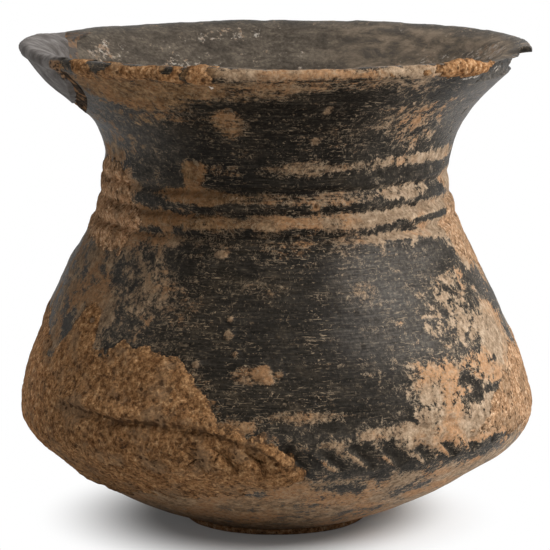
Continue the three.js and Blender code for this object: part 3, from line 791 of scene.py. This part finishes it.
def crust_piece(name, angles, arcs, depth_at, thickness, tone, painted_shadow=None):
    """Crust over a window of the wall, where its depth inside its own edge is above zero"""
    columns = evenly(*angles, math.degrees(CRUST_STEP / BELLY_RADIUS))[None, :]
    rows = evenly(*arcs, CRUST_STEP)[:, None]
    angle, arc = columns + 0 * rows, rows + 0 * columns
    z = skin(arc)[0][..., 1]
    base = surface(angle, arc)
    ragged = 2.4 * rough(base, 7, 3, 81) + layers(base, (1.3, 2.1, 84), (0.7, 0.9, 86))
    inside = depth_at(angle, z, arc) + ragged
    body = thickness(angle, z) * (0.25 + 0.75 * smooth(0, 3, inside))
    swell = 0.34 * rough(base, 7, 2, 91) + 0.24 * noise(base, 2.2, 93)
    grit = layers(base, (0.15, 1.1, 85), (0.09, 0.62, 87))
    lift = body + (swell + grit) * smooth(0, 1.2, inside) * np.clip(body / 0.5, 0.4, 1)
    lift = np.where(inside > 0, np.maximum(lift, CRUST_LEAST), -CRUST_SUNK)
    out = normals_of(base)
    # This value is low in the hollows between grains and along the ledge's painted shadow; the crust material
    # paints shade where it is low
    crest = 0.5 + grit * 2.2 - (painted_shadow(angle, z) if painted_shadow else 0)
    attributes = {"crest": np.clip(crest, 0, 1), "edge": smooth(1.6, 0, inside),
                  "tone": tone(angle) if callable(tone) else tone + 0 * angle}
    slab_piece(name, base + out * lift[..., None], base - out * CRUST_ROOT, inside > 0, attributes)


def left_depth(angle, z, arc):
    return outline_field(angle, z, LEFT_TOP, LEFT_FOOT) - patches(angle, z, LEFT_HOLES)


def ledge_height(angle, z):
    """Height above the lower edge of the ledge that the soil forms along the belly"""
    return z - np.interp(angle, *zip(*LEDGE)) - 0.4 * noise(place(BELLY_RADIUS, z, angle), 5, 95)


def left_thickness(angle, z):
    """Thickest under the belly at the far left, with a shallow ledge along the belly's lower line"""
    amount = 0.5 + 0.55 * smooth(-42, -80, angle) * smooth(17, 13, z) * smooth(8, 11, z)
    amount = amount - 0.3 * smooth(-60, -85, angle) * smooth(16, 19, z)
    amount = amount + 0.35 * smooth(-50, -20, angle) * smooth(18, 24, z)
    above = ledge_height(angle, z)
    ledge = 1.1 * smooth(-0.35, 0.35, above) * smooth(5, 0.6, above)
    hollow = 0.45 * smooth(0, -0.4, above) * smooth(-4, -0.8, above)
    return np.maximum(amount + (ledge - hollow) * smooth(-64, -50, angle), 0.1)


# Painted shadow: a dark line in the soil's colour just under the ledge on the left, where the ledge would
# shade it
def ledge_painted_shadow(angle, z):
    return 0.42 * np.exp(-((ledge_height(angle, z) + 0.5) / 0.5) ** 2) * smooth(-60, -46, angle)


# Brown at the front and more orange towards the far left; the paler orange there is partly painted light,
# making up for the lamps' light that falls short on that side
def left_tone_and_painted_light(angle):
    return 0.12 + smooth(-50, -82, angle)


def level(amount):
    return lambda angle, z: amount + 0 * z


def field(top, foot):
    return lambda angle, z, arc: outline_field(angle, z, top, foot)


def window(angle, arc, first, last, low, high):
    return np.minimum(np.minimum(angle - first, last - angle), np.minimum(arc - low, high - arc))


def lip_crust(name, first, last, drop, amount, tone):
    """Thin crust between two angles, from a drop below the lip to just over its top"""
    low, high = LIP_START - drop, LIP_TOP + 0.6

    def depth(angle, z, arc):
        return window(angle, arc, first, last, low, high) - patches(angle, arc - LIP_START, LIP_HOLES)
    crust_piece(name, (first - 2, last + 2), (low - 1.5, high + 1.5), depth, level(amount), tone)


def right_lip_depth(angle, z, arc):
    """Narrow and patchy where the crust starts, as high as the lip where it is thick"""
    share = smooth(24, 46, angle)
    low = LIP_START + 0.5 - 1.8 * share + 1.4 * smooth(46, 57, angle)
    high = LIP_TOP - 1.6 + 2.8 * share - smooth(50, 57, angle)
    thinned = 0.9 * (1 - share)
    return window(angle, arc, 19, 57.5, low + thinned, high - thinned)


def right_lip_thickness(angle, z):
    return 0.12 + 0.6 * smooth(34, 46, angle) * smooth(58, 48, angle)


def right_lip_tone(angle):
    return 0.35 + 0.5 * smooth(34, 48, angle)


# Materials

def maths(kind):
    return lambda a, b=0.0: Node(a.tree, "Math", {"operation": kind}, n0=a, n1=b)


class Node:
    """One shader node and the output used of it; sums, products and steps of it are further nodes"""

    def __init__(self, tree, kind, settings=None, output=0, **inputs):
        self.tree, self.output = tree, output
        self.made = tree.nodes.new("ShaderNode" + kind)
        for key, value in (settings or {}).items():
            setattr(self.made, key, value)
        for key, value in inputs.items():
            put(self.made.inputs[int(key[1:]) if key[1:].isdigit() else key.replace("_", " ")], value)

    __add__ = maths("ADD")
    __sub__ = maths("SUBTRACT")
    __mul__ = maths("MULTIPLY")
    larger = maths("MAXIMUM")
    size = maths("ABSOLUTE")

    def swing(self, strength):
        """Noise moved from round 0.5 to round 0, and scaled"""
        return (self - 0.5) * strength

    def between(self, a, b):
        """Value a where this is 0, value b where it is 1"""
        return (b - a) * self + a

    def step(self, low, high, to_low=0.0, to_high=1.0):
        return Node(self.tree, "MapRange", {"interpolation_type": "SMOOTHSTEP"}, "Result", Value=self,
                    From_Min=low, From_Max=high, To_Min=to_low, To_Max=to_high)

    def ramp(self, places, colours):
        made = Node(self.tree, "ValToRGB", Fac=self)
        elements = made.made.color_ramp.elements
        while len(elements) < len(places):
            elements.new(0.5)
        for element, where, colour in zip(elements, places, colours):
            element.position = where
            element.color = (*colour, 1)
        return made

    def mix(self, a, b):
        """Colour a where this is 0, colour b where it is 1"""
        return Node(self.tree, "Mix", {"data_type": "RGBA"}, 2, n0=self, n6=a, n7=b)

    def tinted(self, noise_here, places, dark, light):
        """This colour, darker and lighter as a noise has it"""
        settings = {"data_type": "RGBA", "blend_type": "MULTIPLY"}
        tint = noise_here.ramp(places, (dark, WHITE, light))
        return Node(self.tree, "Mix", settings, 2, n0=1.0, n6=self, n7=tint)


def put(socket, value):
    """Give an input a value, a linear colour or what another node gives out"""
    if isinstance(value, Node):
        value.tree.links.new(value.made.outputs[value.output], socket)
    else:
        socket.default_value = (*value, 1) if socket.type == "RGBA" else value


def spaced(tree, size, offset):
    """The object's own place in steps of a size in mm, one length or three"""
    return Node(tree, "Mapping", Vector=Node(tree, "TexCoord", output="Object"),
                Scale=tuple(1 / (value * MM) for value in np.broadcast_to(np.asarray(size, float), 3)),
                Location=(offset, offset * 0.7, offset * 0.4))


def grain(tree, size, detail=5.0, roughness=0.6, distortion=0.0, offset=0.0):
    """Noise whose lumps are as wide as the size"""
    return Node(tree, "TexNoise", output="Fac", Vector=spaced(tree, size, offset), Scale=1.0, Detail=detail,
                Roughness=roughness, Distortion=distortion)


def scatter(tree, size, offset=0.0):
    """Distance to the nearest of scattered points, as a share of the size between them"""
    return Node(tree, "TexVoronoi", output="Distance", Vector=spaced(tree, size, offset), Scale=1.0)


def veins(noise_here, reach, core):
    """Fine lines where a noise crosses its middle"""
    return (noise_here - 0.5).size().step(reach, core)


def attribute(tree, name):
    return Node(tree, "Attribute", {"attribute_name": name}, "Fac")


def new_material(name):
    material = bpy.data.materials.new(name)
    material.use_nodes = True
    return material, material.node_tree


def finish_material(material, colour, roughness, specular, bumps):
    """Connect colour, roughness and shine, and stack bumps given as (noise, distance in mm)"""
    inputs = material.node_tree.nodes["Principled BSDF"].inputs
    put(inputs["Base Color"], colour)
    put(inputs["Roughness"], roughness)
    put(inputs["Specular IOR Level"], specular)
    normal = None
    for value, distance in bumps:
        bump = Node(value.tree, "Bump", Strength=1.0, Distance=distance * MM, Height=value)
        if normal:
            put(bump.made.inputs["Normal"], normal)
        normal = bump
    put(inputs["Normal"], normal)
    return material


# Linear colours; those of a ramp go from dark to light
WHITE = (1, 1, 1)
BLACK_CLAY = (0.007, 0.0055, 0.004), (0.0125, 0.0102, 0.0076), (0.027, 0.0228, 0.0174)
DULL_CLAY = (0.014, 0.012, 0.0095), (0.032, 0.0275, 0.022), (0.058, 0.05, 0.041)
GREY_SHEEN_CLAY = (0.044, 0.039, 0.034), (0.074, 0.066, 0.058), (0.115, 0.104, 0.092)
BROWN_FILM = (0.05, 0.026, 0.011), (0.12, 0.066, 0.029), (0.24, 0.15, 0.078)
ASH_FILM = (0.06, 0.041, 0.026), (0.155, 0.107, 0.068), (0.26, 0.19, 0.125)
SANDY_FILM = (0.15, 0.1, 0.062), (0.28, 0.198, 0.13), (0.42, 0.32, 0.225)
BROWN_OCHRE, SANDY_OCHRE = (0.18, 0.09, 0.038), (0.38, 0.2, 0.095)
BROWN_MARK, SANDY_MARK = (0.19, 0.14, 0.09), (0.34, 0.26, 0.18)
LIME = (0.56, 0.5, 0.43)
SOOT = (0.034, 0.028, 0.022), (0.06, 0.049, 0.038), (0.1, 0.082, 0.063)
DUST = (0.066, 0.055, 0.045), (0.115, 0.09, 0.066), (0.185, 0.14, 0.1)
PALE_STAIN = (0.2, 0.125, 0.075), (0.32, 0.29, 0.25)
BROWN_SOIL = (0.04, 0.017, 0.006), (0.125, 0.062, 0.025), (0.19, 0.102, 0.044), (0.33, 0.205, 0.105)
ORANGE_SOIL = (0.1, 0.036, 0.012), (0.25, 0.118, 0.047), (0.37, 0.205, 0.1), (0.58, 0.4, 0.24)
SANDY_SOIL = (0.13, 0.07, 0.036), (0.34, 0.2, 0.11), (0.46, 0.3, 0.185), (0.62, 0.47, 0.33)
SOIL_STAIN, SOIL_PAINTED_SHADE, SOIL_EDGE = (0.15, 0.1, 0.06), (0.035, 0.017, 0.008), (0.035, 0.026, 0.018)
SOIL_PIT = (0.04, 0.02, 0.01)
REPAIR_GREY = (0.042, 0.035, 0.03), (0.084, 0.074, 0.068), (0.145, 0.132, 0.123)
REPAIR_FLECK, REPAIR_DOT = (0.16, 0.125, 0.095), (0.025, 0.02, 0.017)
REPAIR_STAIN, REPAIR_PIT = (0.21, 0.12, 0.062), (0.012, 0.009, 0.007)
MORTAR_GRIT = (0.006, 0.004, 0.003), (0.03, 0.018, 0.01), (0.11, 0.062, 0.03)
MORTAR_RUBBED, MORTAR_PIT = (0.19, 0.1, 0.045), (0.014, 0.01, 0.008)
MORTAR_GREY, MORTAR_ORANGE = (0.07, 0.06, 0.052), (0.17, 0.1, 0.055)

# Places of a ramp's colours, from a wide ramp to a close one
WIDE, MEDIUM, CLOSE, CLOSEST = ((0.5 - reach, 0.5, 0.5 + reach) for reach in (0.2, 0.18, 0.16, 0.1))
SOIL_PLACES = (0.32, 0.46, 0.56, 0.7)


def clay_material():
    """Burnished black clay with a worn brown film in specks, streaks and patches"""
    material, tree = new_material("clay")
    streak = grain(tree, (5.5, 5.5, 0.7), 6, 0.68)
    wipe = grain(tree, (6, 6, 0.42), 5, 0.66, 0.3, offset=7)
    blotch = grain(tree, 3.6, 7, 0.68, 0.5)
    speckle = grain(tree, 0.85, 4, 0.7, offset=3)
    broad = grain(tree, 12, 4, 0.55, offset=5)
    hue = grain(tree, 2.2, 5, 0.7, offset=17)
    film_here, grey_sheen_here, sandy_here, lime_here, ashy_here, mottled_here, inside = (
        attribute(tree, name) for name in ("film", "grey", "sandy", "lime", "ashy", "mottled", "inside"))
    pattern = mottled_here.between((blotch - streak) * 0.45 + streak, blotch)
    amount = film_here + pattern.swing(2.3) + speckle.swing(1.1) + mottled_here * hue.swing(0.9)
    crispness = sandy_here.step(0.45, 0.95).larger(mottled_here * 0.5) * 0.82
    cover = crispness.between(amount.step(0.3, 0.8, 0, 0.86), amount.step(0.44, 0.58))

    haze = grain(tree, (9, 9, 5), 4, 0.6, 0.3, offset=41)
    black = wipe.ramp(MEDIUM, BLACK_CLAY).tinted(haze, (0.36, 0.52, 0.66), (0.7, 0.7, 0.7), (1.75, 1.65, 1.5))
    black = (mottled_here * 0.8).mix(black, blotch.ramp((0.35, 0.52, 0.7), DULL_CLAY))
    # Grey clay patches; on the right this lighter grey is a painted sheen
    black = (grey_sheen_here * 0.9).mix(black, wipe.ramp(CLOSE, GREY_SHEEN_CLAY))
    black = black.tinted(speckle, CLOSE, (0.62, 0.6, 0.58), (1.6, 1.55, 1.45))
    brown = (ashy_here * 0.75).mix(hue.ramp(MEDIUM, BROWN_FILM), hue.ramp(MEDIUM, ASH_FILM))
    tan = sandy_here.mix(brown, hue.ramp(MEDIUM, SANDY_FILM))
    tan = broad.step(0.47, 0.6, 0, 0.7).mix(tan, sandy_here.mix(BROWN_OCHRE, SANDY_OCHRE))
    tan = tan.tinted(speckle, WIDE, (0.55, 0.5, 0.45), (1.45, 1.45, 1.45))
    colour = cover.mix(black, tan)

    vein = veins(grain(tree, 2.4, 3, 0.6, 1.0, offset=31), 0.022, 0.004) * amount.step(0.12, 0.34)
    scratch = grain(tree, (2.4, 2.4, 0.34), 3, 0.6, 0.6, offset=13).step(0.61, 0.67)
    fleck = grain(tree, 0.7, 2, 0.6, offset=11).step(0.65, 0.71)
    marks = (scratch * 0.7).larger(fleck * 0.85) * broad.step(0.42, 0.58, 0.15, 1.0)
    colour = marks.larger(vein * 0.6).mix(colour, sandy_here.mix(BROWN_MARK, SANDY_MARK))
    limed = lime_here + (speckle.swing(1.6) + blotch.swing(1.2))
    colour = limed.step(0.5, 0.75, 0, 0.9).mix(colour, LIME)

    cloud = grain(tree, (7, 7, 2.4), 6, 0.68, 0.3, offset=21)
    worn = cloud.ramp(CLOSE, SOOT).tinted(speckle, CLOSE, (0.7, 0.68, 0.66), (1.4, 1.4, 1.35))
    worn = sandy_here.step(0.1, 0.7, 0, 0.75).mix(worn, cloud.ramp(CLOSEST, DUST))
    pale = film_here + (blotch.swing(2.2) + speckle.swing(1.6))
    worn = pale.step(0.5, 0.72, 0, 0.75).mix(worn, hue.ramp((0.4, 0.6), PALE_STAIN))
    colour = inside.mix(colour, worn)

    roughness = cover.larger(inside) * 0.36 + (wipe.swing(0.3) + 0.44) - grey_sheen_here * 0.06
    bumps = (streak, 0.04), (wipe, 0.03), (amount, 0.05), (speckle, 0.08)
    return finish_material(material, colour, roughness, 0.045, bumps)


def crust_material():
    """Granular ochre soil stuck to the wall, with dark pits, pale grains and painted shade in the hollows
    between grains
    """
    material, tree = new_material("crust")
    crest, edge, tone = (attribute(tree, name) for name in ("crest", "edge", "tone"))
    grit = grain(tree, 1.1, 6, 0.75)
    fine = grain(tree, 0.55, 3, 0.7, offset=2)
    patch = grain(tree, 7, 5, 0.65, offset=9)
    lump = grain(tree, 2.6, 4, 0.65, 0.4, offset=12)
    brown, orange, sand = (grit.ramp(SOIL_PLACES, soil) for soil in (BROWN_SOIL, ORANGE_SOIL, SANDY_SOIL))
    colour = tone.step(1, 2).mix(tone.mix(brown, orange), sand)
    colour = colour.tinted(fine, MEDIUM, (0.55, 0.5, 0.44), (1.4, 1.4, 1.4))
    colour = colour.tinted(lump, CLOSE, (0.72, 0.68, 0.64), (1.22, 1.22, 1.22))
    colour = patch.step(0.48, 0.64, 0, 0.5).mix(colour, SOIL_STAIN)
    # Painted shade: darker soil in the hollows between grains, and a painted shadow line under the ledge on
    # the left
    colour = crest.step(0.36, 0.1, 0, 0.75).mix(colour, SOIL_PAINTED_SHADE)
    colour = (edge * grit.step(0.44, 0.58, 0.7, 0)).mix(colour, SOIL_EDGE)
    pit = scatter(tree, 2.3, 5).step(0.24, 0.12) * patch.step(0.44, 0.52)
    crack = veins(grain(tree, 4.5, 3, 0.6, 0.8, offset=33), 0.016, 0.003) * lump.step(0.5, 0.4)
    dark = pit.larger(crack)
    colour = (dark * 0.8).mix(colour, SOIL_PIT)
    dome = scatter(tree, 1.3) * -1.0 + 1.0
    bumps = (lump, 0.5), (dome, 0.22), (grit, 0.3), (fine, 0.2), (dark, -0.3)
    return finish_material(material, colour, 0.95, 0.05, bumps)


def infill_material():
    """Smooth grey repair filler"""
    material, tree = new_material("infill")
    cloud = grain(tree, 5, 6, 0.7)
    fine = grain(tree, 0.8, 4, 0.65)
    film_here = attribute(tree, "film")
    colour = fine.step(0.58, 0.7, 0, 0.45).mix(cloud.ramp((0.36, 0.5, 0.62), REPAIR_GREY), REPAIR_FLECK)
    colour = fine.step(0.36, 0.3, 0, 0.6).mix(colour, REPAIR_DOT)
    colour = (film_here + cloud.swing(1.5)).step(0.4, 0.56, 0, 0.85).mix(colour, REPAIR_STAIN)
    pitted = film_here.step(0.22, 0.5) * fine.step(0.52, 0.44)
    colour = (pitted * 0.85).mix(colour, REPAIR_PIT)
    return finish_material(material, colour, 0.7, 0.1, ((cloud, 0.25), (fine, 0.06), (pitted, -0.3)))


def mortar_material():
    """Dark pitted mortar, brown where it is rubbed; inside the mouth it is grey with an orange stain"""
    material, tree = new_material("mortar")
    grit = grain(tree, 0.9, 6, 0.7)
    patch = grain(tree, 3, 3, 0.6, offset=4)
    outer = patch.step(0.52, 0.62, 0, 0.75).mix(grit.ramp((0.38, 0.56, 0.72), MORTAR_GRIT), MORTAR_RUBBED)
    inner = patch.step(0.44, 0.56, 0, 0.8).mix(MORTAR_GREY, MORTAR_ORANGE)
    inner = grit.step(0.42, 0.34, 0, 0.8).mix(inner, MORTAR_PIT)
    return finish_material(material, attribute(tree, "inside").mix(outer, inner), 0.9, 0.08, [(grit, 0.4)])


# Pieces

CLAY = clay_material()
CRUST = crust_material()
RINGS = ("bowl_wall_ring", "belly_ring", "shoulder_ring_lower", "shoulder_ring_upper", "neck_collar")
LOOKS = {
    **dict.fromkeys((*RINGS, "flared_mouth"), (CLAY, "burnished_clay")),
    **dict.fromkeys(("bowl_base", "bowl_wall_ring"), (CLAY, "worn_clay")), "foot_disc": (CRUST, "worn_clay"),
    "mouth_repair_infill": (infill_material(), "repair_fill"),
    "mouth_repair_mortar": (mortar_material(), "repair_mortar"),
}
SEAMS = (BOWL_SEAM, BELLY_SEAM_LOW, BELLY_SEAM_HIGH, SHOULDER_SEAM, NECK_SEAM_LOW, NECK_SEAM_HIGH)
INFILL_LOW = mouth_level(GAP_TIP_LEVEL) - TIP_DROP + 0.1

for name, low, high in zip(RINGS, SEAMS, SEAMS[1:]):
    ring_piece(name, low, high)
bowl_base_piece("bowl_base")
foot_piece("foot_disc")
sector_piece("flared_mouth", NECK_SEAM_HIGH, mouth_level(MORTAR_TIP_LEVEL), -1, 1, MOUTH_COLUMNS, 0.0)
sector_piece("mouth_repair_infill", INFILL_LOW, INFILL_LOW, 1, 0, INFILL_COLUMNS, REPAIR_BULGE)
mortar_piece("mouth_repair_mortar")

crust_piece("lip_crust_right", (17, 63), (LIP_START - 3.5, LIP_TOP + 4), right_lip_depth, right_lip_thickness,
            right_lip_tone)
lip_crust("lip_crust_left", -41, -20, 0.8, 0.2, 0.35)
lip_crust("lip_crust_corner", -50, -44, 1.0, 0.2, 0.3)
lip_crust("lip_shell_lump", -19, -14, 1.2, 0.6, 0.5)

# Crusts of the wall, as name, angles, heights, and then their depth, thickness, tone and painted shadow
LEFT = (left_depth, left_thickness, left_tone_and_painted_light, ledge_painted_shadow)
for name, angles, heights, *form in (
        ("bowl_crust_left", (-127, -12.5), (10.3, 26.2), *LEFT),
        ("belly_crust_left", (-127, -12.5), (26.2, 43.5), *LEFT),
        ("shoulder_crust_left", (-124, -17), (43.5, 59), *LEFT),
        ("belly_crust_front", (-12.5, 11), (13, 40), left_depth, left_thickness, 0.1, ledge_painted_shadow),
        ("belly_crust_right", (44, 116), (23, 49), field(RIGHT_TOP, RIGHT_FOOT), level(0.2), 1.7),
        ("neck_crust_left", (-102, -44), (66, 91), field(NECK_LEFT_TOP, NECK_LEFT_FOOT), level(0.38), 1.5),
        ("neck_crust_right", (60, 104), (56, 83), field(NECK_RIGHT_TOP, NECK_RIGHT_FOOT), level(0.15), 2.0)):
    crust_piece(name, angles, outer_arc(heights), *form)


# Floor, light and camera

def seen(tree):
    """1 where the camera looks, straight, by a reflection or through something clear"""
    straight, mirrored, through = (
        Node(tree, "LightPath", output=f"Is {ray} Ray") for ray in ("Camera", "Glossy", "Transmission"))
    return straight.larger(mirrored.larger(through))


def floor():
    """Floor that takes the cup's shadow and fades to plain white round it"""
    mesh = bpy.data.meshes.new("floor")
    corners = [(x * FLOOR_REACH, y * FLOOR_REACH, 0) for x, y in ((-1, -1), (1, -1), (1, 1), (-1, 1))]
    mesh.from_pydata(corners, [], [(0, 1, 2, 3)])
    material, tree = new_material("floor")
    tree.nodes.clear()
    looked_at = seen(tree)
    moved = Node(tree, "VectorMath", {"operation": "ADD"}, n0=Node(tree, "TexCoord", output="Object"),
                 n1=SHADOW_SHIFT)
    far = Node(tree, "VectorMath", {"operation": "LENGTH"}, "Value", n0=moved)
    paper = Node(tree, "BsdfDiffuse", Color=(0.8, 0.8, 0.8))
    lift = Node(tree, "Emission", Color=WHITE, Strength=looked_at * 0.045)
    white = Node(tree, "Emission", Color=WHITE, Strength=1.0)
    near = Node(tree, "AddShader", n0=paper, n1=lift)
    mixed = Node(tree, "MixShader", Fac=far.step(*SHADOW_FADE) * looked_at, n1=near, n2=white)
    Node(tree, "OutputMaterial", Surface=mixed)
    mesh.materials.append(material)
    new_object("floor", mesh)


def lamp(name, where, size, power):
    data = bpy.data.lights.new(name, "AREA")
    data.shape = "DISK"
    data.size = size
    data.energy = power
    made = new_object(name, data)
    made.location = where
    made.rotation_euler = (Vector(MIDDLE) - Vector(where)).to_track_quat("-Z", "Y").to_euler()


def world(ambient):
    """Even light of a strength, white where the camera sees it"""
    made = bpy.data.worlds.new("studio")
    made.use_nodes = True
    tree = made.node_tree
    tree.nodes.clear()
    strength = seen(tree) * (1 - ambient) + ambient
    Node(tree, "OutputWorld", Surface=Node(tree, "Background", Color=WHITE, Strength=strength))
    bpy.context.scene.world = made


# In metres
FLOOR_REACH = 6.0
SHADOW_SHIFT = (0.0015, 0, 0)
SHADOW_FADE = (0.026, 0.057)
MIDDLE = (0, 0, 0.06)
CAMERA_DISTANCE = 0.7
CAMERA_HEIGHT = 0.1816
CAMERA_AIM = 0.0583
CAMERA_LENS = 195.2

floor()
world(0.22)
lamp("key", (1.1, -0.55, 1.0), 0.7, 25)
lamp("top", (0.1, -0.6, 1.5), 0.9, 15)
lamp("back", (0.1, 1.0, 1.2), 0.8, 6)

camera_data = bpy.data.cameras.new("camera")
camera_data.lens = CAMERA_LENS
camera_data.shift_x = -1 / IMAGE_SIZE
camera = new_object("camera", camera_data)
camera.location = (0, -CAMERA_DISTANCE, CAMERA_HEIGHT)
camera.rotation_euler = (math.atan2(CAMERA_DISTANCE, CAMERA_HEIGHT - CAMERA_AIM), 0, 0)
bpy.context.scene.camera = camera
bpy.context.scene.view_settings.view_transform = "Standard"
